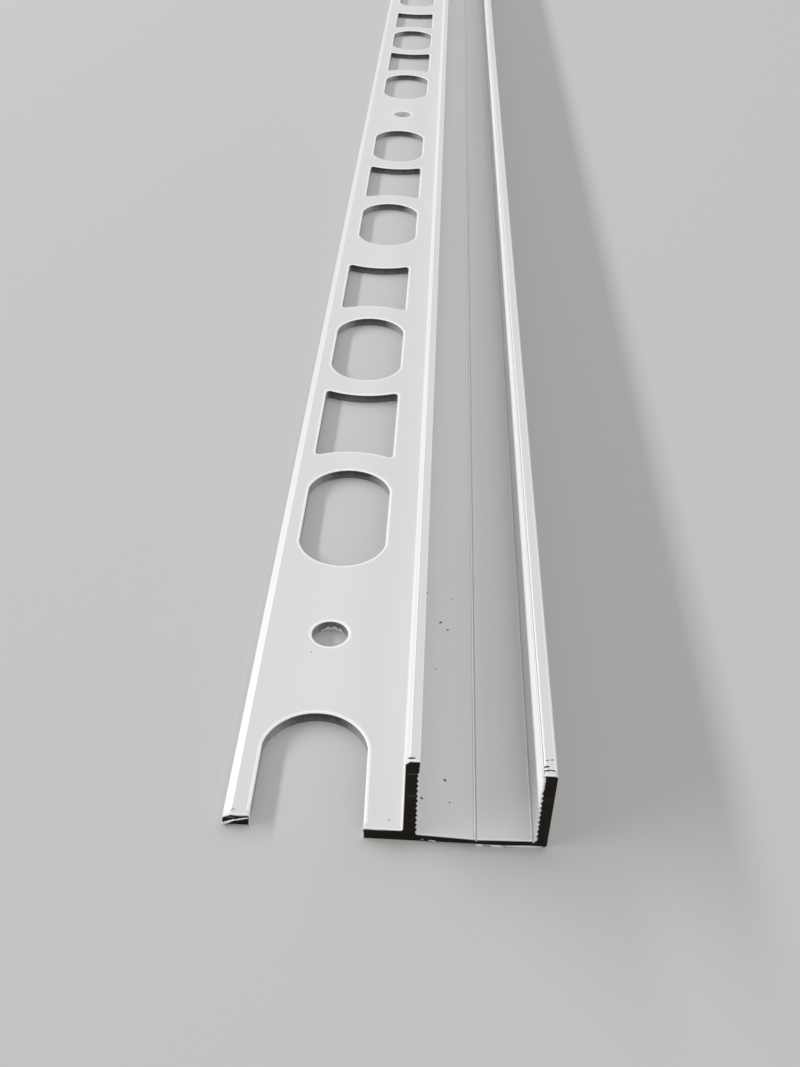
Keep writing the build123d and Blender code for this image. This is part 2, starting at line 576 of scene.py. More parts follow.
@dataclass(frozen=True)
class Punch:
    """Outlines of the punched holes about their own middle, in mm."""

    slot_width: float = 12.0
    slot_length: float = 22.8
    slot_end_radius: float = 6.1
    square_width: float = 12.0
    square_length: float = 17.0
    square_end_radius: float = 13.5
    square_corner_radius: float = 0.6
    screw_diameter: float = 4.6
    sawn_splay: float = 0.21
    end_steps: int = 14
    side_steps: int = 6

    def slot_corner(self) -> float:
        """Distance from a slot's middle to where its straight sides end."""
        half, radius = self.slot_width / 2, self.slot_end_radius
        return self.slot_length / 2 - radius + math.sqrt(radius**2 - half**2)

    def quarter(self, kind: Hole) -> tuple[np.ndarray, np.ndarray]:
        """A quarter of a hole's outline, from the middle of its near end to the middle of its +X side.

        A slot's end is an arc about a point on the middle line, met by a straight side. A square's end is an arc
        about a point outside the hole, and a small arc that touches it and the side rounds the corner.

        Args:
            kind: which hole.

        Returns:
            Points and their normals into the metal; the corner is point number end_steps.
        """
        ends, sides = self.end_steps, self.side_steps
        if kind is Hole.SCREW:
            turn = np.concatenate(
                [np.linspace(0, math.pi / 4, ends, endpoint=False), np.linspace(math.pi / 4, math.pi / 2, sides + 1)]
            )
            normals = np.stack([np.sin(turn), -np.cos(turn)], axis=1)
            return normals * self.screw_diameter / 2, normals
        if kind is Hole.SLOT:
            half, radius = self.slot_width / 2, self.slot_end_radius
            turn = np.linspace(0, math.asin(half / radius), ends + 1)
            normals = np.stack([np.sin(turn), -np.cos(turn)], axis=1)
            arc = normals * radius - [0.0, self.slot_length / 2 - radius]
            rise = np.linspace(-self.slot_corner(), 0.0, sides + 1)[1:]
            side = np.stack([np.full(sides, half), rise], axis=1)
            normals[-1] = unit(normals[-1] + [1.0, 0.0])
            return np.concatenate([arc, side]), np.concatenate([normals, np.tile([1.0, 0.0], (sides, 1))])
        half, radius, small = self.square_width / 2, self.square_end_radius, self.square_corner_radius
        far = self.square_length / 2 + radius
        round_steps = 4
        corner = np.array([half - small, -far + math.sqrt((radius + small) ** 2 - (half - small) ** 2)])
        turn = np.linspace(0, math.asin((half - small) / (radius + small)), ends - round_steps, endpoint=False)
        hollow = np.stack([radius * np.sin(turn), radius * np.cos(turn) - far], axis=1)
        first = math.atan2(-far - corner[1], -corner[0])
        bend = np.linspace(first, 0.0, 2 * round_steps + 1)
        bend_normals = np.stack([np.cos(bend), np.sin(bend)], axis=1)
        rise = np.linspace(corner[1], 0.0, sides - round_steps + 1)[1:]
        side = np.stack([np.full(len(rise), half), rise], axis=1)
        points = np.concatenate([hollow, corner + small * bend_normals, side])
        normals = np.concatenate(
            [np.stack([-np.sin(turn), -np.cos(turn)], axis=1), bend_normals, np.tile([1.0, 0.0], (len(rise), 1))]
        )
        return points, normals

    def outline(self, kind: Hole) -> tuple[np.ndarray, np.ndarray]:
        """A whole outline: the quarter mirrored round, anticlockwise from the middle of the near end."""
        turns = np.array([(1.0, 1.0), (1.0, -1.0), (-1.0, -1.0), (-1.0, 1.0)])
        quarter = np.array(self.quarter(kind))
        parts = [quarter * turn for turn in turns]
        parts[1], parts[3] = parts[1][:, ::-1], parts[3][:, ::-1]
        points, normals = np.concatenate([part[:, :-1] for part in parts], axis=1)
        return points, normals

    def sawn_slot(self, near_right: float, near_left: float) -> tuple[np.ndarray, np.ndarray]:
        """What the saw leaves of a slot: up its +X side, round its far end and down its -X side.

        The +X side is splayed: it stands off by an amount that grows evenly from its far end to the cut.

        Args:
            near_right: Y where the +X side starts, from the slot's middle.
            near_left: Y where the -X side ends.

        Returns:
            Points and their normals into the metal.
        """
        points, normals = self.quarter(Hole.SLOT)
        arc, arc_normals = points[: self.end_steps + 1], normals[: self.end_steps + 1]
        half, corner, steps = self.slot_width / 2, self.slot_corner(), 2 * self.side_steps
        rise = np.linspace(near_right, corner, steps + 1)[:-1]
        fall = np.linspace(corner, near_left, steps + 1)[1:]
        splay = self.sawn_splay * (corner - rise) / (corner - near_right)
        line = [
            np.stack([half + splay, rise], axis=1),
            (arc * [1, -1])[::-1],
            (arc * [-1, -1])[1:],
            np.stack([np.full(steps, -half), fall], axis=1),
        ]
        into = [
            np.tile([1.0, 0.0], (steps, 1)),
            (arc_normals * [1, -1])[::-1],
            (arc_normals * [-1, -1])[1:],
            np.tile([-1.0, 0.0], (steps, 1)),
        ]
        return np.concatenate(line), np.concatenate(into)


@dataclass(frozen=True)
class PunchedEdge:
    """The metal round a hole, from the underside up: a torn lower wall, a sheared upper wall and a drawn-in rim.

    The rings are numbered from 0 on the cell's lower border; first_wall_ring, tear_ring, tear_top_ring and
    first_roll_ring are such numbers. A painted sheen brightens a wall's sides where the size of its normal's X is
    shine_from or more, fully from shine_full on.
    """

    under_width: float = 0.25
    under_chamfer: float = 0.03
    roll_width: float = 0.34
    roll_height: float = 0.12
    roll_steps: int = 4
    roll_start_highlight: float = 0.4
    tear_height: float = 0.62
    tear_depth: float = 0.05
    tear_roughness: float = 0.035
    tear_spread: float = 0.5
    tear_step: float = 0.45
    tear_wavelength: float = 3.0
    guard: float = 0.07
    glow: float = 0.12
    wall_painted_sheen: float = 0.5
    shine_from: float = 0.3
    shine_full: float = 0.8
    first_screw_painted_sheen: float = 0.28
    later_screw_painted_sheen: float = 0.95
    first_wall_ring: int = 2
    tear_ring: int = 4
    tear_top_ring: int = 5
    first_roll_ring: int = 7

    def rings(self, thickness: float) -> tuple[np.ndarray, np.ndarray, np.ndarray, np.ndarray]:
        """The rings of the surface round a hole, in order from the cell's lower border to its upper one.

        The rim is a quarter ellipse: the offset is its width times one less the cosine, the height its height
        times the sine, of an angle that goes evenly from 0 to 90 degrees.

        Args:
            thickness: of the leg.

        Returns:
            Offset from the outline, height, and polish of each ring, and the finish of each strip between rings.
            The first and last rings lie on the cell's border, so their offset isn't used.
        """
        angle = np.linspace(0, math.pi / 2, self.roll_steps + 1)
        shoulder = thickness - self.roll_height
        under, chamfer, roll = self.under_width, self.under_chamfer, self.first_roll_ring
        offset = [0.0, under, under - self.guard, chamfer, self.tear_depth, 0.0, 0.0]
        height = [0.0, 0.0, 0.0, chamfer, self.tear_height / 2, self.tear_height, shoulder - self.guard]
        offset = np.concatenate([offset, self.roll_width * (1 - np.cos(angle)), [self.roll_width + self.glow, 0.0]])
        height = np.concatenate([height, shoulder + self.roll_height * np.sin(angle), [thickness, thickness]])
        # Painted highlight: the rolled rim round each hole takes the bright edge colour all round, also where it faces
        # away from the lamps.
        polish_and_highlight = np.zeros(len(offset))
        polish_and_highlight[roll : roll + self.roll_steps + 1] = 1.0
        polish_and_highlight[roll] = self.roll_start_highlight
        finish = np.full(len(offset) - 1, Finish.SATIN)
        finish[self.first_wall_ring : roll] = Finish.PUNCHED
        return offset, height, polish_and_highlight, finish

    def shine(self, polish_and_highlight: np.ndarray, normals: np.ndarray, all_round: float = 0.0) -> np.ndarray:
        """Polish of each point of the rings: a painted sheen makes the sides of a wall, which face the side lamps,
        brighter than its middle.

        The share added to a wall's rings is wall_painted_sheen times a value that goes evenly from 0 to 1 as the size
        of the normal's X goes from shine_from to shine_full, and at least all_round.

        Args:
            polish_and_highlight: of each ring.
            normals: of the outline.
            all_round: the least share of painted sheen for the whole wall.

        Returns:
            Rings by points.
        """
        sideways = (np.abs(normals[:, 0]) - self.shine_from) / (self.shine_full - self.shine_from)
        share = np.maximum(self.wall_painted_sheen * sideways.clip(0.0, 1.0), all_round)
        wall = np.zeros(len(polish_and_highlight))
        wall[self.first_wall_ring : self.first_roll_ring] = 1.0
        return polish_and_highlight[:, None] + wall[:, None] * share


@dataclass(frozen=True)
class SawnEdge:
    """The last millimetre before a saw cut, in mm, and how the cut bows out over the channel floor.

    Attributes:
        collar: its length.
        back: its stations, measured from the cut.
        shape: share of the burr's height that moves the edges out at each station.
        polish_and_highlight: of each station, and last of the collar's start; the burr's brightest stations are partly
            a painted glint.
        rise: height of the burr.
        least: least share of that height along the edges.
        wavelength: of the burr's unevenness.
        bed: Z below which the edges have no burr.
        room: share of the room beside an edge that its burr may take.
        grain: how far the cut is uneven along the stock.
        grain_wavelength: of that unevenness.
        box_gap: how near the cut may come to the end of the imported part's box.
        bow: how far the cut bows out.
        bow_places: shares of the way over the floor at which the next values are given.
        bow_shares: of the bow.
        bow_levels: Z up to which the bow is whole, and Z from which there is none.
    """

    collar: float = 1.0
    back: tuple[float, ...] = (0.0, 0.03, 0.09, 0.2, 0.36)
    shape: tuple[float, ...] = (-0.6, 0.6, 0.55, 0.25, 0.05)
    polish_and_highlight: tuple[float, ...] = (0.0, 1.0, 1.0, 0.4, 0.0, 0.0)
    rise: float = 0.19
    least: float = 0.45
    wavelength: float = 2.6
    bed: float = 0.3
    room: float = 0.4
    grain: float = 0.04
    grain_wavelength: float = 1.7
    box_gap: float = 0.005
    bow: float = 0.29
    bow_places: tuple[float, ...] = (0.0, 0.2, 0.5, 0.65, 0.85, 1.0, 1.08)
    bow_shares: tuple[float, ...] = (0.0, 0.5, 1.0, 0.97, 0.84, 0.47, 0.0)
    bow_levels: tuple[float, float] = (1.3, 3.0)


@dataclass(frozen=True)
class CleanEdge:
    """The last of the stock before the far end's clean cut, in mm: stations as shares of its collar."""

    collar: float = 0.4
    stations: tuple[float, ...] = (0.0, 0.88, 0.97, 1.0)
    inset: tuple[float, ...] = (0.0, 0.0, 0.012, 0.035)
    # The broken edge's polish is partly a painted glint; it also lifts the cap's dark punched tone to mid-grey.
    polish_and_highlight: tuple[float, ...] = (0.0, 0.0, 0.4, 0.4)
    room: float = 0.4


@dataclass
class TrimProfile:
    """The whole length as one closed surface: punched panel, plain strips beside it, and both cut ends."""

    section: Section = field(default_factory=Section)
    punch: Punch = field(default_factory=Punch)
    edge: PunchedEdge = field(default_factory=PunchedEdge)
    saw: SawnEdge = field(default_factory=SawnEdge)
    clean: CleanEdge = field(default_factory=CleanEdge)
    length: float = 1000.0
    hole_line: float = 8.9
    pitch: float = 25.0
    tool_gap: float = 31.25
    tool_shift: float = 0.8
    sawn_hole: float = 5.1
    cut_back: float = 0.3
    prong_shortfall: float = 1.22
    main_seed: int = 5
    prong_seed: int = 11
    sharp_angle: float = math.radians(32)
    stroke: tuple[Hole, ...] = (
        Hole.SLOT, Hole.SQUARE, Hole.SLOT, Hole.SCREW, Hole.SLOT, Hole.SQUARE, Hole.SLOT, Hole.SQUARE,
    )
    sawn_stroke: int = 2

    def holes(self) -> list[tuple[Hole, float, float]]:
        """Kind, X and Y of each hole, from the sawn end on."""
        line = self.section.leg_edge + self.hole_line
        found: list[tuple[Hole, float, float]] = []
        kinds, x, y = self.stroke[self.sawn_stroke:], line, self.sawn_hole - self.length / 2
        while y < self.length / 2:
            found += [(kind, x, y + step * self.pitch) for step, kind in enumerate(kinds)]
            y += (len(kinds) - 1) * self.pitch + self.tool_gap
            kinds, x = self.stroke, line + self.tool_shift
        return [hole for hole in found if hole[2] < self.length / 2]

    def across(self, y: float) -> np.ndarray:
        """A row of points over the panel's width at Y, one for each outline point of a hole's end."""
        low, high = self.section.panel
        steps = 2 * self.punch.end_steps
        return np.stack([low + (high - low) * np.arange(steps + 1) / steps, np.full(steps + 1, y)], axis=1)

    def border(self, near: float, far: float) -> np.ndarray:
        """Border of a hole's cell, anticlockwise from the middle of its near side, a point for each outline point."""
        low, high = self.section.panel
        sides, half = 2 * self.punch.side_steps, self.punch.end_steps
        along = near + (far - near) * np.arange(sides + 1) / sides
        right = np.stack([np.full(sides + 1, high), along], axis=1)
        left = np.stack([np.full(sides + 1, low), along], axis=1)[::-1]
        near_row, far_row = self.across(near), self.across(far)[::-1]
        return np.concatenate([near_row[half:-1], right[:-1], far_row[:-1], left[:-1], near_row[:half]])

    def sawn_border(self, near_right: float, near_left: float, far: float) -> np.ndarray:
        """Border of the sawn slot's cell: up its +X side, along its far side and down its -X side."""
        low, high = self.section.panel
        sides = 2 * self.punch.side_steps
        right = np.stack([np.full(sides, high), np.linspace(near_right, far, sides + 1)[:-1]], axis=1)
        left = np.stack([np.full(sides, low), np.linspace(far, near_left, sides + 1)[1:]], axis=1)
        return np.concatenate([right, self.across(far)[::-1], left])

    def cell(self, points: np.ndarray, normals: np.ndarray, border: np.ndarray, seed: int) -> np.ndarray:
        """The surface round one hole: each ring is the outline moved out along its normals, and the first and last
        rings are the cell's border.

        Args:
            points: outline of the hole, in place.
            normals: of the outline, into the metal.
            border: one border point for each outline point.
            seed: picks the torn wall's unevenness.

        Returns:
            Rings by points by 3.
        """
        edge, count = self.edge, len(points)
        offset, height, _, _ = edge.rings(self.section.leg_thickness)
        ring = points + offset[:, None, None] * normals
        tear = ragged(np.arange(count) * edge.tear_step, edge.tear_wavelength, seed) - 0.5
        ring[edge.tear_ring] += (edge.tear_roughness * tear)[:, None] * normals
        ring[0] = ring[-1] = border
        level = np.repeat(height[:, None], count, axis=1)
        level[edge.tear_top_ring] += edge.tear_spread * edge.tear_height * tear
        return np.concatenate([ring, level[..., None]], axis=-1)

    def build(self, materials: Sequence[bpy.types.Material]) -> bpy.types.Object:
        """Makes the piece.

        Args:
            materials: the material of each finish.

        Returns:
            The finished object.
        """
        shell = Shell()
        near, far = -self.length / 2, self.length / 2 - self.clean.collar
        main_cut, prong_cut = near + self.cut_back, near + self.prong_shortfall
        main_start, prong_start = main_cut + self.saw.collar, prong_cut + self.saw.collar
        holes = self.holes()
        middles = np.array([hole[2] for hole in holes])
        breaks = np.concatenate([(middles[:-1] + middles[1:]) / 2, [far]])
        _, _, polish_and_highlight, finish = self.edge.rings(self.section.leg_thickness)

        kind, x, y = holes[0]
        points, normals = self.punch.sawn_slot(main_start - y, prong_start - y)
        sawn = self.cell(points + [x, y], normals, self.sawn_border(main_start, prong_start, breaks[0]), 0)
        shell.grid(sawn, finish, self.edge.shine(polish_and_highlight, normals), inward=True)
        sides = 2 * self.punch.side_steps
        self.strips_beside(shell, sawn[:, -sides - 1:][:, ::-1], sawn[:, : sides + 1])

        outlines = {kind: self.punch.outline(kind) for kind in Hole}
        for number, (kind, x, y) in enumerate(holes[1:], start=1):
            points, normals = outlines[kind]
            border = self.border(breaks[number - 1], breaks[number])
            rings = self.cell(points + [x, y], normals, border, number)
            # Painted sheen: the walls of the screw holes after the first are lighter all round.
            screw_painted_sheen = self.edge.later_screw_painted_sheen if number > 1 else self.edge.first_screw_painted_sheen
            shine = self.edge.shine(polish_and_highlight, normals, screw_painted_sheen if kind is Hole.SCREW else 0.0)
            shell.grid(rings, finish, shine, closed=True, inward=True)
            start = self.punch.end_steps
            right = rings[:, start: start + sides + 1]
            left_start = 3 * self.punch.end_steps + sides
            left = rings[:, left_start: left_start + sides + 1][:, ::-1]
            self.strips_beside(shell, left, right)
        log.info("panel of %d punched holes", len(holes))

        leg, channel = self.section.leg_side(), self.section.channel_side()
        leg_stations = np.concatenate([[prong_start], breaks])
        channel_stations = np.concatenate([[main_start], breaks])
        for outline, stations in ((leg, leg_stations), (channel, channel_stations)):
            shell.grid(at(outline.points[None], stations[:, None]), Finish.SATIN, outline.polish_and_highlight)
        log.info("section of %d points", len(leg.points) + len(channel.points))

        column = sawn[:, 0][:, [0, 2]], sawn[:, -1][:, [0, 2]]
        main_loop = np.concatenate([column[0], channel.points])
        prong_loop = np.concatenate([leg.points, column[1][::-1]])
        self.sawn_collar(shell, main_loop, main_cut, self.main_seed)
        self.sawn_collar(shell, prong_loop, prong_cut, self.prong_seed)
        panel = self.across(far)[:, 0]
        top = np.stack([panel, np.full(len(panel), self.section.leg_thickness)], axis=1)
        under = np.stack([panel[::-1], np.zeros(len(panel))], axis=1)
        self.far_end(shell, np.concatenate([leg.points, top, channel.points, under]), far)
        return shell.build("trim_profile_finish", materials, self.sharp_angle)

    def strips_beside(self, shell: Shell, left: np.ndarray, right: np.ndarray) -> None:
        """Joins the sides of a cell to the long strips beside the panel, on top and underneath.

        Args:
            shell: takes the faces.
            left: the cell's rings along its -X side, with Y rising.
            right: the same along its +X side.
        """
        for side, rings in enumerate((left, right)):
            for ring in (-1, 0):
                dense = rings[ring]
                sparse = dense[[0, -1]].copy()
                sparse[:, 0] = self.section.seams[side]
                shell.zipper(dense, sparse, inward=(side == 1) != (ring == 0))

    def bow(self, loop: np.ndarray) -> np.ndarray:
        """How far the saw cut bows out along a loop: a smooth hump over the channel floor that dies up the walls."""
        saw = self.saw
        over = (loop[:, 0] - self.section.channel_left) / self.section.channel_width
        hump = np.interp(over, saw.bow_places, saw.bow_shares)
        return saw.bow * hump * np.interp(loop[:, 1], saw.bow_levels, [1.0, 0.0])

    def sawn_collar(self, shell: Shell, loop: np.ndarray, cut: float, seed: int) -> None:
        """The last millimetre before the saw cut, whose edges rise into a ragged burr, and the cut itself.

        Each station is the loop moved out along its normals by the burr's height there, which grows towards the
        cut and falls at it, times an uneven value along the loop. At the cut the loop is drawn in instead. The
        loop's room limits both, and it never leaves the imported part's box.

        Args:
            shell: takes the faces.
            loop: X and Z of the loop, clockwise seen from the sawn end.
            cut: Y of the cut, where it doesn't bow.
            seed: picks the burr's unevenness.
        """
        saw = self.saw
        step = unit(np.roll(loop, -1, axis=0) - np.roll(loop, 1, axis=0))
        distance = np.cumsum(np.linalg.norm(loop - np.roll(loop, 1, axis=0), axis=1))
        uneven = saw.least + (1 - saw.least) * ragged(distance, saw.wavelength, seed)
        uneven *= loop[:, 1] > saw.bed
        rise = np.array(saw.shape)[:, None] * saw.rise * uneven
        beside, facing = loop_room(loop)
        rise = np.clip(rise, -saw.room * np.minimum(beside, facing), saw.room * facing)
        grain = saw.grain * ragged(distance, saw.grain_wavelength, seed + 1)
        stations = (cut + np.array(saw.back))[:, None] - self.bow(loop) - grain
        low, high = np.array(CAD_BOX[0]) / MM, np.array(CAD_BOX[1]) / MM
        spread = np.clip(loop + rise[..., None] * outward(step), low[[0, 2]], high[[0, 2]])
        collar = at(spread, np.maximum(stations, low[1] + saw.box_gap))
        grid = np.concatenate([collar, at(loop, cut + saw.collar)[None]])
        finish = np.array([Finish.BURR] + (len(saw.back) - 1) * [Finish.SATIN])
        shell.grid(grid, finish, np.array(saw.polish_and_highlight)[:, None], closed=True)
        # The cut face takes the near-black sawn finish, which is painted shade.
        shell.cap(grid[0], Finish.SAWN, forward=False)

    def far_end(self, shell: Shell, loop: np.ndarray, start: float) -> None:
        """The far end: a clean bare cut with its edges just broken, as the loop drawn in by a small step.

        Args:
            shell: takes the faces.
            loop: X and Z of the loop, clockwise seen from the sawn end.
            start: Y where the plain stock ends.
        """
        clean = self.clean
        step = unit(np.roll(loop, -1, axis=0) - np.roll(loop, 1, axis=0))
        inset = np.minimum(np.array(clean.inset)[:, None], clean.room * np.minimum(*loop_room(loop)))
        stations = start + clean.collar * np.array(clean.stations)
        grid = at(loop - inset[..., None] * outward(step), stations[:, None])
        shell.grid(grid, Finish.SATIN, np.array(clean.polish_and_highlight)[:, None], closed=True)
        shell.cap(grid[-1], Finish.PUNCHED, forward=True)


@dataclass(frozen=True)
class BurrRibbon:
    """A sliver of metal that the saw left standing.

    Attributes:
        path: corners of its root line, in mm.
        lean: step from root to tip at full height.
        thickness: of its root.
        seed: picks its unevenness.
        finish: of the sliver.
        polish_and_highlight: of the sliver.
        steps: pieces along it.
        least: least share of the full height along it.
        wavelength: of its unevenness.
        least_taper: keeps its pointed ends from closing up.
    """

    path: tuple[tuple[float, float, float], ...]
    lean: tuple[float, float, float]
    thickness: float
    seed: int
    finish: Finish = Finish.BURR
    polish_and_highlight: float = 1.0
    steps: int = 40
    least: float = 0.3
    wavelength: float = 0.9
    least_taper: float = 1e-4

    def surface(self) -> np.ndarray:
        """A three-cornered bar along the path whose height is uneven and dies away at both ends.

        The root line is the path walked evenly. At a share s of the way the height is the lean times an uneven
        value times the root of the sine of 180 degrees times s, and the root's half thickness follows the same sine.
        """
        corners = np.array(self.path)
        lengths = np.concatenate([[0.0], np.cumsum(np.linalg.norm(np.diff(corners, axis=0), axis=1))])
        share = np.linspace(0.0, 1.0, self.steps + 1)
        walked = share * lengths[-1]
        root = np.stack([np.interp(walked, lengths, corners[:, k]) for k in range(3)], axis=1)
        taper = np.sqrt(np.sin(math.pi * share).clip(self.least_taper, 1.0))[:, None]
        uneven = (self.least + (1 - self.least) * ragged(walked, self.wavelength, self.seed))[:, None]
        along = unit(np.gradient(root, axis=0))
        across = unit(np.cross(along, self.lean)) * taper * self.thickness / 2
        tip = root + np.array(self.lean) * taper * uneven
        return np.stack([root - across, tip, root + across], axis=1)


@dataclass(frozen=True)
class TornFlap:
    """The flap that the outer prong's break folded forward and down: high at its inner end, low and proud outside.

    Attributes:
        outer: X of its outer end.
        inner: X of its inner end.
        root: Y of the break.
        knots: shares of the way from the outer to the inner end where the next three values are given.
        heights: Z of its crest.
        reach: how far its crest stands out.
        lip: thickness of its crest.
        foot: Z where its underside meets the break.
        corners: of its section, from the root's top over the crest, brow and belly to the root's bottom, each as
            shares of the reach, the crest's height and its thickness.
        height_roughness: how far the crest's height is uneven.
        reach_roughness: how much of the reach is uneven.
        wavelength: of the unevenness.
        seed: picks it.
        steps: pieces along it.
    """

    outer: float = -17.2
    inner: float = -14.46
    root: float = -498.74
    knots: tuple[float, ...] = (0.0, 0.18, 0.4, 1.0)
    heights: tuple[float, ...] = (0.28, 0.50, 0.78, 1.19)
    reach: tuple[float, ...] = (0.30, 0.30, 0.20, 0.15)
    lip: tuple[float, ...] = (0.30, 0.24, 0.13, 0.12)
    foot: float = 0.04
    corners: tuple[tuple[float, float, float], ...] = (
        (0.0, 1.0, 0.1), (0.5, 1.0, 0.5), (1.0, 1.0, -0.35), (0.5, 0.5, 0.0), (0.0, 0.0, 0.0),
    )
    height_roughness: float = 0.12
    reach_roughness: float = 0.4
    wavelength: float = 1.3
    seed: int = 21
    steps: int = 48

    def surface(self) -> np.ndarray:
        """A bar whose five-cornered section changes from end to end.

        The crest's height, reach and thickness go evenly from knot to knot, and an uneven value moves the height and
        the reach. No corner lies below the foot.
        """
        share = np.linspace(0.0, 1.0, self.steps + 1)
        x = self.outer + (self.inner - self.outer) * share
        uneven = ragged(x, self.wavelength, self.seed) - 0.5
        height, reach, lip = (np.interp(share, self.knots, row) for row in (self.heights, self.reach, self.lip))
        height = height + self.height_roughness * uneven
        reach = reach * (1 + self.reach_roughness * uneven)
        lines = [
            np.stack([x, self.root - out * reach, (up * height + thick * lip).clip(self.foot)], axis=1)
            for out, up, thick in self.corners
        ]
        return np.stack(lines, axis=1)


@dataclass
class SawBurrs:
    """Slivers along the sawn end, and the flap on the broken prong."""

    flap: TornFlap
    ribbons: tuple[BurrRibbon, ...]
    sharp_angle: float = math.radians(50)

    def build(self, materials: Sequence[bpy.types.Material]) -> bpy.types.Object:
        """Makes the piece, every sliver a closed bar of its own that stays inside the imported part's box.

        Args:
            materials: the material of each finish.

        Returns:
            The finished object.
        """
        shell = Shell()
        for ribbon in self.ribbons:
            bar = np.clip(ribbon.surface(), *(np.array(corner) / MM for corner in CAD_BOX))
            shell.grid(bar, ribbon.finish, ribbon.polish_and_highlight, closed=True)
            shell.add(bar[0], np.array([[0, 2, 1]]), ribbon.finish, ribbon.polish_and_highlight)
            shell.add(bar[-1], np.array([[0, 1, 2]]), ribbon.finish, ribbon.polish_and_highlight)
        flap = self.flap.surface().transpose(1, 0, 2)
        # The gap above the flap's crest, its brow and its belly take the near-black sawn finish as painted shade; the
        # crest's bright burr finish is partly a painted highlight.
        kinds = np.array([Finish.SAWN, Finish.BURR, Finish.SAWN, Finish.SAWN])
        polish_and_highlight = np.array([0.0, 1.0, 1.0, 0.0, 0.0])[:, None]
        shell.grid(flap, kinds, polish_and_highlight, inward=True)
        shell.grid(flap[[-1, 0]], Finish.SAWN, inward=True)
        ends = np.array([[0, 1, 2], [0, 2, 3], [0, 3, 4]])
        shell.add(flap[:, 0], ends[:, ::-1], Finish.SAWN, 0.0)
        shell.add(flap[:, -1], ends, Finish.SAWN, 0.0)
        return shell.build("saw_burrs", materials, self.sharp_angle)


@dataclass(frozen=True)
class Mark:
    """A small lens-shaped mark on a level face.

    Attributes:
        middle: its place, in mm.
        half_length: along its own length.
        half_width: across it.
        turn: of its length from the X axis, in degrees.
        height: of its crown.
        finish: of its top.
    """

    middle: tuple[float, float, float]
    half_length: float
    half_width: float
    turn: float = 0.0
    height: float = 0.02
    finish: Finish = Finish.PIT

    def surface(self, rings: int = 4, around: int = 14, sunk: float = 0.02) -> np.ndarray:
        """A lens: rings whose radius is the sine, and height the cosine, of an angle from the crown to the rim.

        Args:
            rings: from the crown to the rim.
            around: points in a ring.
            sunk: depth of the flat underside below the face.

        Returns:
            Rings by points by 3, closed by the flat underside's middle.
        """
        hub = 0.02
        slope = np.linspace(hub, 1.0, rings) * math.pi / 2
        turn = np.linspace(0.0, math.tau, around, endpoint=False)
        radius = np.concatenate([np.sin(slope), [1.0, hub]])[:, None]
        level = np.concatenate([self.height * np.cos(slope), [-sunk, -sunk]])[:, None]
        x, y = self.half_length * radius * np.cos(turn), self.half_width * radius * np.sin(turn)
        angle = math.radians(self.turn)
        turned = [x * math.cos(angle) - y * math.sin(angle), x * math.sin(angle) + y * math.cos(angle)]
        return np.stack([*turned, np.broadcast_to(level, x.shape)], axis=-1) + self.middle


@dataclass
class SurfaceMarks:
    """Pick-up specks on the channel floor and leg, and the saw's nicks on the walls' tops: dark lenses of painted
    shade, two of them beside a bright lens of painted highlight.
    """

    marks: tuple[Mark, ...]
    sharp_angle: float = math.radians(60)

    def build(self, materials: Sequence[bpy.types.Material]) -> bpy.types.Object:
        """Makes the piece, every mark a closed lens of its own.

        Args:
            materials: the material of each finish.

        Returns:
            The finished object.
        """
        shell = Shell()
        for mark in self.marks:
            lens = mark.surface()
            around = lens.shape[1]
            fan = np.stack([np.arange(1, around - 1), np.arange(2, around), np.zeros(around - 2, int)], axis=1)
            shell.grid(lens, mark.finish, 0.0, closed=True, inward=True)
            shell.add(lens[0], fan, mark.finish, 0.0)
            shell.add(lens[-1], fan[:, ::-1], mark.finish, 0.0)
        return shell.build("surface_marks", materials, self.sharp_angle)


class Tree:
    """A node tree being filled in."""

    FIRST_COLOUR, SECOND_COLOUR, BLENDED_COLOUR = 6, 7, 2  # a Mix node's colour sockets, whose names it uses twice

    def __init__(self, tree: bpy.types.NodeTree) -> None:
        """Empties the tree."""
        self.tree = tree
        tree.nodes.clear()

    def add(self, kind: str, inputs: Mapping[str | int, Any] | None = None, **settings: Any) -> bpy.types.Node:
        """Adds a node.

        Args:
            kind: Blender's name for the node type.
            inputs: a value, or a socket to join, for each named or numbered input.
            settings: the node's own properties.

        Returns:
            The node.
        """
        node = self.tree.nodes.new(kind)
        for name, value in settings.items():
            setattr(node, name, value)
        for name, value in (inputs or {}).items():
            if isinstance(value, bpy.types.NodeSocket):
                self.tree.links.new(value, node.inputs[name])
            else:
                node.inputs[name].default_value = value
        return node

    def math(self, operation: str, first: Any, second: Any = 0.0, clamp: bool = False) -> bpy.types.NodeSocket:
        """The result of a math operation on two values or sockets, held from 0 to 1 where clamp is set."""
        return self.add("ShaderNodeMath", {0: first, 1: second}, operation=operation, use_clamp=clamp).outputs[0]

    def weigh(self, share: float, first: Any, second: Any) -> bpy.types.NodeSocket:
        """Two values added up, the first times a share and the second times the rest."""
        return self.math("ADD", self.math("MULTIPLY", first, share), self.math("MULTIPLY", second, 1 - share))

    def span(self, value: Any, low: float, high: float, to_low: float, to_high: float) -> bpy.types.NodeSocket:
        """A value moved from one span to another and held inside it."""
        names = ("Value", "From Min", "From Max", "To Min", "To Max")
        node = self.add("ShaderNodeMapRange", dict(zip(names, (value, low, high, to_low, to_high))))
        return node.outputs["Result"]

    def blend(self, share: Any, first: Any, second: Any) -> bpy.types.NodeSocket:
        """Two colours blended by a share, each given as its three parts or as a socket."""
        first, second = ((*colour, 1.0) if isinstance(colour, tuple) else colour for colour in (first, second))
        inputs = {0: share, self.FIRST_COLOUR: first, self.SECOND_COLOUR: second}
        return self.add("ShaderNodeMix", inputs, data_type="RGBA").outputs[self.BLENDED_COLOUR]


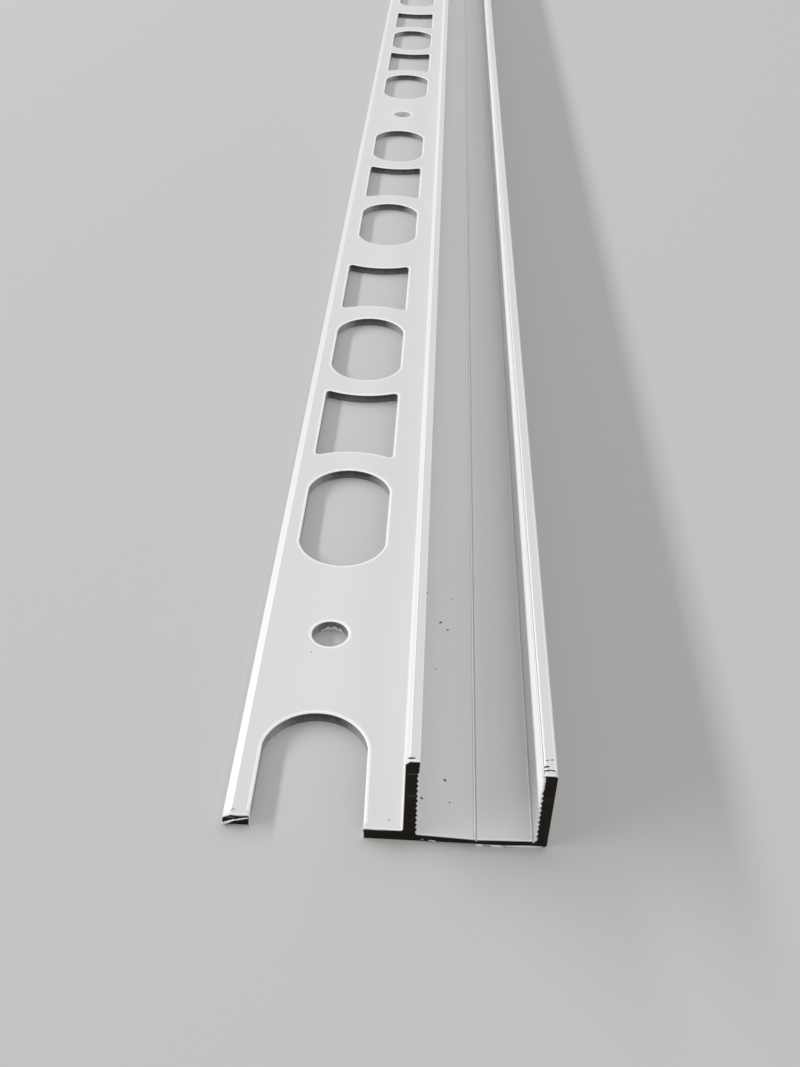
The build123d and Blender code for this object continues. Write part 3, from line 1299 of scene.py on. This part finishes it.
class Groups:
    """The shader node groups that several finishes share."""

    MIDDLE = 0.5  # the level that noise lies about
    STREAK_DETAIL, STREAK_ROUGHNESS = 3.0, 0.6
    WEAR_FREQUENCY, WEAR_DETAIL = 1800.0, 2.0

    def __init__(self) -> None:
        """Builds each group once."""
        self.streaks = self.make_streaks()
        self.wear_and_highlight = self.make_wear_and_highlight()

    def make_streaks(self) -> bpy.types.NodeTree:
        """Noise on Object coordinates, drawn out by a frequency for each axis: grain, die lines or saw marks.

        The lines are the noise less its middle, times the contrast, plus the middle, held from 0 to 1.

        Returns:
            The group, which takes the frequency and the contrast and gives the lines.
        """
        group = bpy.data.node_groups.new("drawn_streaks", "ShaderNodeTree")
        tree = Tree(group)
        group.interface.new_socket("Frequency", in_out="INPUT", socket_type="NodeSocketVector")
        group.interface.new_socket("Contrast", in_out="INPUT", socket_type="NodeSocketFloat")
        group.interface.new_socket("Lines", in_out="OUTPUT", socket_type="NodeSocketFloat")
        entry = tree.add("NodeGroupInput")
        place = tree.add("ShaderNodeTexCoord")
        factors = {0: place.outputs["Object"], 1: entry.outputs["Frequency"]}
        drawn = tree.add("ShaderNodeVectorMath", factors, operation="MULTIPLY").outputs[0]
        grain = {"Vector": drawn, "Scale": 1.0, "Detail": self.STREAK_DETAIL, "Roughness": self.STREAK_ROUGHNESS}
        centred = tree.math("SUBTRACT", tree.add("ShaderNodeTexNoise", grain).outputs[0], self.MIDDLE)
        spread = tree.math("MULTIPLY", centred, entry.outputs["Contrast"])
        tree.add("NodeGroupOutput", {"Lines": tree.math("ADD", spread, self.MIDDLE, clamp=True)})
        return group

    def make_wear_and_highlight(self) -> bpy.types.NodeTree:
        """Polish of the edges, from the mesh's own attribute, broken up by fine noise: rubbed metal, and partly a
        painted highlight.

        The mask is the attribute less the noise times the breakup, held from 0 to 1.

        Returns:
            The group, which takes the breakup and gives the mask.
        """
        group = bpy.data.node_groups.new("edge_wear_and_highlight", "ShaderNodeTree")
        tree = Tree(group)
        group.interface.new_socket("Breakup", in_out="INPUT", socket_type="NodeSocketFloat")
        group.interface.new_socket("Mask", in_out="OUTPUT", socket_type="NodeSocketFloat")
        entry = tree.add("NodeGroupInput")
        place = tree.add("ShaderNodeTexCoord")
        polish_and_highlight = tree.add("ShaderNodeAttribute", attribute_name=POLISH_AND_HIGHLIGHT)
        fine = {"Vector": place.outputs["Object"], "Scale": self.WEAR_FREQUENCY, "Detail": self.WEAR_DETAIL}
        gaps = tree.math("MULTIPLY", tree.add("ShaderNodeTexNoise", fine).outputs[0], entry.outputs["Breakup"])
        tree.add("NodeGroupOutput", {"Mask": tree.math("SUBTRACT", polish_and_highlight.outputs["Fac"], gaps, clamp=True)})
        return group


def streaks(tree: Tree, groups: Groups, frequency: Colour, contrast: float) -> bpy.types.NodeSocket:
    """Places the streaks group in a material and returns its lines."""
    node = tree.add("ShaderNodeGroup", node_tree=groups.streaks)
    node.inputs["Frequency"].default_value = frequency
    node.inputs["Contrast"].default_value = contrast
    return node.outputs["Lines"]


def wear_and_highlight(tree: Tree, groups: Groups, breakup: float) -> bpy.types.NodeSocket:
    """Places the group of rubbed edges and painted highlight in a material and returns its mask."""
    node = tree.add("ShaderNodeGroup", node_tree=groups.wear_and_highlight)
    node.inputs["Breakup"].default_value = breakup
    return node.outputs["Mask"]


@dataclass(frozen=True)
class Metal:
    """A finish of the aluminium.

    Attributes:
        name: the material's name.
        colour: darker tone of the surface.
        light: lighter tone.
        edge: tone of polished edges, which is partly a painted highlight.
        metallic: share of bare metal in the reflection.
        roughness: lowest and highest.
        edge_roughness: of polished edges.
        grain: frequency of the streaks along each axis, per metre.
        grain_contrast: of the streaks.
        grit: frequency of the fine etch, per metre.
        relief: depth of the bump, in metres.
        relief_strength: of the bump.
        breakup: how far noise breaks up the edges' polish.
        specular: level of the reflection of its dielectric share.
        grain_in_tone: share of the grain in the tone, beside the mottle.
        grain_in_relief: share of the grain in the bump, beside the etch.
        tone_span: tones at which the lowest and the highest roughness are reached.
        mottle: frequency of the slow mottle along each axis, per metre.
        mottle_contrast: of the mottle.
        etch_contrast: of the etch.
        foot_tone: lighter colour that a punched wall takes towards its foot, a painted reflection below its dark top.
        foot_height: where it starts to, above the underside, in metres.
        foot_full: share of that height below which it is at its strongest.
        foot_strength: share of the foot's tone there.
        foot_grain: frequency along each axis with which its border wanders, per metre.
        foot_contrast: of that.
        foot_wander: how far the border wanders either way, as a share of the height.
    """

    name: str
    colour: Colour
    light: Colour
    edge: Colour
    metallic: float
    roughness: tuple[float, float]
    edge_roughness: float
    grain: Colour
    grain_contrast: float
    grit: float
    relief: float
    relief_strength: float
    breakup: float
    specular: float = 0.5
    grain_in_tone: float = 0.6
    grain_in_relief: float = 0.55
    tone_span: tuple[float, float] = (0.2, 0.8)
    mottle: Colour = (90.0, 14.0, 90.0)
    mottle_contrast: float = 1.6
    etch_contrast: float = 1.8
    foot_tone: Colour | None = None
    foot_height: float = 0.0
    foot_full: float = 0.25
    foot_strength: float = 0.85
    foot_grain: Colour = (1100.0, 1100.0, 300.0)
    foot_contrast: float = 2.0
    foot_wander: float = 0.3

    def make(self, groups: Groups) -> bpy.types.Material:
        """Builds the material.

        The tone is a weighted sum of grain and mottle, and blends the darker colour into the lighter one and sets
        the roughness. The bump's height is a weighted sum of grain and etch. The mask of polished edges, partly a
        painted highlight, blends in their colour and adds the step to their roughness.

        Args:
            groups: the shared node groups.

        Returns:
            The material.
        """
        material = bpy.data.materials.new(self.name)
        material.use_nodes = True
        tree = Tree(material.node_tree)
        lines = streaks(tree, groups, self.grain, self.grain_contrast)
        slow = streaks(tree, groups, self.mottle, self.mottle_contrast)
        etch = streaks(tree, groups, (self.grit, self.grit, self.grit), self.etch_contrast)
        # Polished edges: rubbed metal, and partly a painted highlight on edges and rims.
        mask = wear_and_highlight(tree, groups, self.breakup)
        tone = tree.weigh(self.grain_in_tone, lines, slow)
        body = tree.blend(tone, self.colour, self.light)
        # Painted reflection: the walls get lighter towards their foot.
        if self.foot_tone is not None:
            body = tree.blend(self.foot_mask(tree, groups), body, self.foot_tone)
        colour = tree.blend(mask, body, self.edge)
        rough = tree.span(tone, *self.tone_span, *self.roughness)
        rough = tree.math("ADD", rough, tree.math("MULTIPLY", mask, self.edge_roughness - self.roughness[0]))
        height = tree.weigh(self.grain_in_relief, lines, etch)
        bump = tree.add("ShaderNodeBump", {"Strength": self.relief_strength, "Distance": self.relief, "Height": height})
        surface = {
            "Base Color": colour,
            "Metallic": self.metallic,
            "Roughness": rough,
            "Normal": bump.outputs[0],
            "Specular IOR Level": self.specular,
        }
        tree.add("ShaderNodeOutputMaterial", {"Surface": tree.add("ShaderNodeBsdfPrincipled", surface).outputs[0]})
        material.diffuse_color = (*self.colour, 1.0)
        return material

    def foot_mask(self, tree: Tree, groups: Groups) -> bpy.types.NodeSocket:
        """Share of the foot's tone, a painted reflection: none above its start, strongest near the underside, with a
        wandering border.

        The share falls evenly from foot_strength to 0 as the height goes from foot_full of foot_height to the whole
        of it, and streaks first move the height by up to foot_wander of it.

        Args:
            tree: of the material.
            groups: the shared node groups.

        Returns:
            The share.
        """
        place = tree.add("ShaderNodeTexCoord")
        height = tree.add("ShaderNodeSeparateXYZ", {0: place.outputs["Object"]}).outputs["Z"]
        lines = streaks(tree, groups, self.foot_grain, self.foot_contrast)
        wander = tree.span(lines, 0.0, 1.0, -self.foot_wander, self.foot_wander)
        moved = tree.math("ADD", height, tree.math("MULTIPLY", wander, self.foot_height))
        return tree.span(moved, self.foot_full * self.foot_height, self.foot_height, self.foot_strength, 0.0)


SATIN = Metal(
    name="satin_anodised",
    colour=(0.72, 0.735, 0.73), light=(0.775, 0.785, 0.78), edge=(0.985, 0.985, 0.98),
    metallic=0.18, roughness=(0.44, 0.52), edge_roughness=0.38,
    grain=(5200.0, 26.0, 5200.0), grain_contrast=1.3, grit=5200.0,
    relief=0.00001, relief_strength=0.25, breakup=0.3,
)
# Punched hole walls: the near-black body is painted shade, lighter towards the underside as a painted reflection;
# polished sides add a painted sheen.
PUNCHED = Metal(
    name="punched_wall_painted_shade",
    colour=(0.02, 0.021, 0.021), light=(0.10, 0.105, 0.105), edge=(0.95, 0.95, 0.95),
    metallic=0.6, roughness=(0.34, 0.5), edge_roughness=0.3,
    grain=(3800.0, 3800.0, 260.0), grain_contrast=2.0, grit=6000.0,
    relief=0.00003, relief_strength=0.5, breakup=0.2,
    foot_tone=(0.20, 0.21, 0.21), foot_height=0.0011,
)
# Sawn faces: the near-black tone is painted shade; bare cut aluminium is grey, and the cut lies in shade.
SAWN = Metal(
    name="sawn_end_painted_shade",
    colour=(0.003, 0.0025, 0.002), light=(0.042, 0.030, 0.026), edge=(0.04, 0.03, 0.027),
    metallic=0.7, roughness=(0.45, 0.62), edge_roughness=0.4,
    grain=(160.0, 600.0, 3600.0), grain_contrast=2.2, grit=7000.0,
    relief=0.00005, relief_strength=0.6, breakup=0.2, specular=0.08,
)
# Bright burrs: bare aluminium, lighter than the anodised face; their near-white polished tone is partly a painted glint
# along the cut's edges.
BURR = Metal(
    name="bright_burr",
    colour=(0.72, 0.71, 0.69), light=(0.90, 0.90, 0.88), edge=(0.96, 0.96, 0.95),
    metallic=0.4, roughness=(0.26, 0.4), edge_roughness=0.3,
    grain=(2600.0, 2600.0, 2600.0), grain_contrast=2.0, grit=6000.0,
    relief=0.00003, relief_strength=0.5, breakup=0.6,
)
# Pits and nicks: the near-black tone is painted shade of small hollows.
PIT = Metal(
    name="pit_painted_shade",
    colour=(0.008, 0.008, 0.008), light=(0.03, 0.03, 0.028), edge=(0.1, 0.1, 0.1),
    metallic=0.2, roughness=(0.6, 0.8), edge_roughness=0.6,
    grain=(9000.0, 9000.0, 9000.0), grain_contrast=2.0, grit=9000.0,
    relief=0.00002, relief_strength=0.4, breakup=0.5,
)


@dataclass(frozen=True)
class SoftLamp:
    """A rectangular soft lamp aimed at a point.

    Attributes:
        name: of the lamp.
        place: in metres.
        aim: point it faces, in metres.
        size: its two sides, in metres.
        power: in watts.
        colour: of its light.
    """

    name: str
    place: tuple[float, float, float]
    aim: tuple[float, float, float]
    size: tuple[float, float]
    power: float
    colour: Colour = (1.0, 1.0, 1.0)

    def make(self) -> bpy.types.Object:
        """Adds the lamp, with its long side level: up is Y crossed with the way back, or X where that is short."""
        data = bpy.data.lights.new(self.name, "AREA")
        data.shape = "RECTANGLE"
        data.size, data.size_y = self.size
        data.energy = self.power
        data.color = self.colour
        lamp = bpy.data.objects.new(self.name, data)
        back = (Vector(self.place) - Vector(self.aim)).normalized()
        shortest = 0.2
        level = Vector((0.0, 1.0, 0.0)).cross(back)
        up = level.normalized() if level.length > shortest else Vector((1.0, 0.0, 0.0))
        across = up.cross(back).normalized()
        up = back.cross(across)
        lamp.matrix_world = Matrix.Translation(self.place) @ Matrix((across, up, back)).transposed().to_4x4()
        bpy.context.scene.collection.objects.link(lamp)
        return lamp


@dataclass
class Studio:
    """A plain pale floor, soft light from the left and above, and the camera at the photograph's place."""

    floor_size: float = 14.0
    floor_colour: Colour = (0.60, 0.60, 0.59)
    floor_roughness: float = 0.9
    floor_specular: float = 0.2
    world_colour: Colour = (1.0, 1.0, 1.0)
    world_strength: float = 0.46
    backdrop_strength: float = 0.62
    lens: float = 38.26
    sensor: float = 36.0
    camera_place: tuple[float, float, float] = (0.002295, -0.574998, 0.099244)
    camera_right: tuple[float, float, float] = (0.99874, 0.04252, 0.02677)
    camera_forward: tuple[float, float, float] = (-0.01728, 0.79087, -0.61175)
    camera_clip: tuple[float, float] = (0.01, 60.0)
    lamps: tuple[SoftLamp, ...] = (
        SoftLamp("strip_left", (-1.46, -0.1, 0.77), (0.0, -0.1, 0.0), (2.6, 0.14), 22.8),
        SoftLamp("top_far", (-0.25, 0.95, 1.55), (0.0, 0.0, 0.0), (2.4, 1.8), 4.0),
        SoftLamp("fill_right", (0.85, -0.1, 1.25), (0.0, -0.1, 0.0), (2.6, 0.5), 4.5),
    )

    def make_floor(self) -> bpy.types.Object:
        """A level square sheet, two by two points."""
        half = self.floor_size / 2
        corners = np.array([(-1, -1, 0), (1, -1, 0), (1, 1, 0), (-1, 1, 0)]) * half
        mesh = bpy.data.meshes.new("floor")
        mesh.from_pydata(corners.tolist(), [], [(0, 1, 2, 3)])
        material = bpy.data.materials.new("pale_floor")
        material.use_nodes = True
        tree = Tree(material.node_tree)
        finish = {
            "Base Color": (*self.floor_colour, 1.0),
            "Roughness": self.floor_roughness,
            "Specular IOR Level": self.floor_specular,
        }
        tree.add("ShaderNodeOutputMaterial", {"Surface": tree.add("ShaderNodeBsdfPrincipled", finish).outputs[0]})
        mesh.materials.append(material)
        floor = bpy.data.objects.new("floor", mesh)
        bpy.context.scene.collection.objects.link(floor)
        return floor

    def make_world(self) -> bpy.types.World:
        """Even pale light from all round, with a backdrop where the camera or a reflection sees past the floor."""
        world = bpy.data.worlds.new("studio")
        world.use_nodes = True
        tree = Tree(world.node_tree)
        ray = tree.add("ShaderNodeLightPath")
        colour = (*self.world_colour, 1.0)
        light = tree.add("ShaderNodeBackground", {"Color": colour, "Strength": self.world_strength})
        seen = tree.add("ShaderNodeBackground", {"Color": colour, "Strength": self.backdrop_strength})
        direct = tree.math("MAXIMUM", ray.outputs["Is Camera Ray"], ray.outputs["Is Glossy Ray"])
        direct = tree.math("MAXIMUM", direct, ray.outputs["Is Transmission Ray"])
        mixed = tree.add("ShaderNodeMixShader", {0: direct, 1: light.outputs[0], 2: seen.outputs[0]})
        tree.add("ShaderNodeOutputWorld", {"Surface": mixed.outputs[0]})
        bpy.context.scene.world = world
        return world

    def make_camera(self) -> bpy.types.Object:
        """The camera at the place and turn that were fitted to the photograph."""
        data = bpy.data.cameras.new("camera")
        data.lens = self.lens
        data.sensor_width = self.sensor
        data.clip_start, data.clip_end = self.camera_clip
        camera = bpy.data.objects.new("camera", data)
        forward = Vector(self.camera_forward).normalized()
        right = Vector(self.camera_right)
        right = (right - forward * right.dot(forward)).normalized()
        up = right.cross(forward)
        turn = Matrix((right, up, -forward)).transposed().to_4x4()
        camera.matrix_world = Matrix.Translation(self.camera_place) @ turn
        bpy.context.scene.collection.objects.link(camera)
        bpy.context.scene.camera = camera
        return camera

    def build(self) -> None:
        """Sets up the stage."""
        self.make_floor()
        self.make_world()
        self.make_camera()
        for lamp in self.lamps:
            lamp.make()
        bpy.context.scene.view_settings.view_transform = "Standard"


def sawn_end_burrs() -> SawBurrs:
    """The slivers that the photograph shows, from the broken prong to the free wall, and the lip in a screw hole.

    Places are in mm. The lip's root is an arc about the hole's middle, at the turns given in degrees.
    """
    cut, prong = -499.72, -498.8
    screw, screw_x, screw_y, screw_z = 2.26, -8.4, -469.9, 0.12
    turns = np.radians(np.linspace(38, 128, 9))
    screw_rim = tuple((screw_x + screw * math.cos(t), screw_y + screw * math.sin(t), screw_z) for t in turns)
    lip_root = ((2.2, cut, 10.5), (2.7, cut, 10.62), (3.3, cut, 10.72))
    return SawBurrs(
        TornFlap(),
        (
            BurrRibbon(((-16.85, prong, 1.14), (-15.9, prong, 1.2)), (0.0, -0.1, -0.05), 0.2, 3, Finish.PUNCHED, 0.3),
            BurrRibbon(((-17.2, prong - 0.22, 0.5), (-17.22, prong - 0.24, 0.06)), (-0.03, -0.1, 0.0), 0.16, 4),
            BurrRibbon(((-14.42, prong, 1.36), (-14.38, prong, 0.03)), (0.02, -0.12, 0.0), 0.1, 7),
            BurrRibbon(((-14.4, prong - 0.04, 0.2), (-14.36, prong - 0.06, 0.03)), (0.02, -0.14, 0.0), 0.2, 8),
            BurrRibbon(((9.7, cut - 0.24, 0.12), (10.6, cut - 0.25, 0.08)), (0.0, -0.03, 0.02), 0.22, 10),
            BurrRibbon(((11.3, cut - 0.25, 0.1), (12.7, cut - 0.24, 0.06)), (0.0, -0.03, 0.02), 0.2, 11),
            BurrRibbon(((12.9, cut - 0.22, 0.13), (16.9, cut - 0.06, 0.11)), (0.0, -0.04, 0.02), 0.2, 17),
            BurrRibbon(((3.6, cut - 0.04, 0.44), (4.3, cut - 0.1, 0.4)), (0.0, -0.03, 0.03), 0.1, 12),
            BurrRibbon(((4.7, cut - 0.13, 0.38), (5.6, cut - 0.2, 0.3)), (0.0, -0.03, 0.03), 0.1, 16),
            # The two dull slivers on the tall wall's cut, lighter than the sawn face, stand for saw-mark streaks that
            # are partly a painted sheen.
            BurrRibbon(lip_root, (0.0, -0.04, 0.0), 0.2, 15, Finish.PUNCHED, 0.0),
            BurrRibbon(((2.25, cut, 7.3), (3.2, cut, 7.25)), (0.0, -0.03, 0.0), 0.14, 19, Finish.PUNCHED, 0.0),
            # The screw hole's lip is a real burr; its near-white tone is partly a painted highlight.
            BurrRibbon(screw_rim, (0.0, -0.05, 0.8), 0.12, 18, Finish.BURR, 0.8),
        ),
    )


def photographed_marks() -> SurfaceMarks:
    """Specks and nicks at the places where the photograph shows them, in mm."""
    section = Section()
    floor, leg, tall, free = section.floor, section.leg_thickness, section.tall_height, section.free_height
    specks = (
        # Dark lenses are painted shade in pits; the bright lenses beside two of them are a painted highlight on their
        # lit lips.
        Mark((6.37, -492.18, floor), 0.24, 0.11, -40, 0.03),
        Mark((6.55, -492.1, floor), 0.18, 0.05, -40, 0.035, Finish.BURR),
        Mark((3.87, -494.84, floor), 0.21, 0.1, -45, 0.03),
        Mark((4.03, -494.75, floor), 0.16, 0.05, -45, 0.035, Finish.BURR),
        Mark((6.93, -495.25, floor), 0.11, 0.08, -40),
        Mark((5.54, -466.29, floor), 0.22, 0.15, 20),
        Mark((6.45, -467.65, floor), 0.18, 0.12, -15),
        Mark((6.92, -461.58, floor), 0.1, 0.1),
        Mark((3.6, -460.61, floor), 0.12, 0.16),
        Mark((3.5, -471.55, floor), 0.14, 0.16, 10),
        Mark((5.04, -474.82, floor), 0.1, 0.08),
        Mark((0.49, -498.39, leg), 0.1, 0.07, -30),
        Mark((-10.36, -473.42, leg), 0.09, 0.08),
        Mark((-16.3, -497.9, leg), 0.12, 0.05, -40),
        Mark((-16.1, -498.05, leg), 0.07, 0.09, 10),
        Mark((-16.35, -498.2, leg), 0.09, 0.05, 30),
    )
    nicks = (
        # Nicks on the walls' tops: dark lenses of painted shade.
        Mark((2.6, -499.23, tall), 0.42, 0.11, 3, 0.035),
        Mark((16.2, -498.48, free), 0.3, 0.11, 14, 0.03),
        Mark((16.3, -498.97, free), 0.42, 0.1, 9, 0.03),
        Mark((16.8, -498.96, free), 0.3, 0.09, -8, 0.03),
        Mark((16.3, -497.62, free), 0.17, 0.07, 10, finish=Finish.PUNCHED),
        Mark((16.8, -497.55, free), 0.2, 0.07, 4, finish=Finish.PUNCHED),
    )
    return SurfaceMarks(specks + nicks)


def finish_piece(piece: bpy.types.Object, *, replaces: bool = False) -> None:
    """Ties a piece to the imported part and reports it.

    Args:
        piece: the finished piece.
        replaces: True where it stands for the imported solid.
    """
    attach(piece, BODY)
    if replaces:
        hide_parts(NODE)
    triangles = sum(len(polygon.vertices) - 2 for polygon in piece.data.polygons)
    log.info("%s: %d triangles", piece.name, triangles)


def main() -> None:
    """Builds the profile, its burrs and marks, and the studio round it."""
    logging.basicConfig(level=logging.INFO, format="%(name)s: %(message)s")
    groups = Groups()
    materials = [finish.make(groups) for finish in (SATIN, PUNCHED, SAWN, BURR, PIT)]
    finish_piece(TrimProfile().build(materials), replaces=True)
    finish_piece(sawn_end_burrs().build(materials))
    finish_piece(photographed_marks().build(materials))
    Studio().build()


if __name__ == "__main__":
    main()
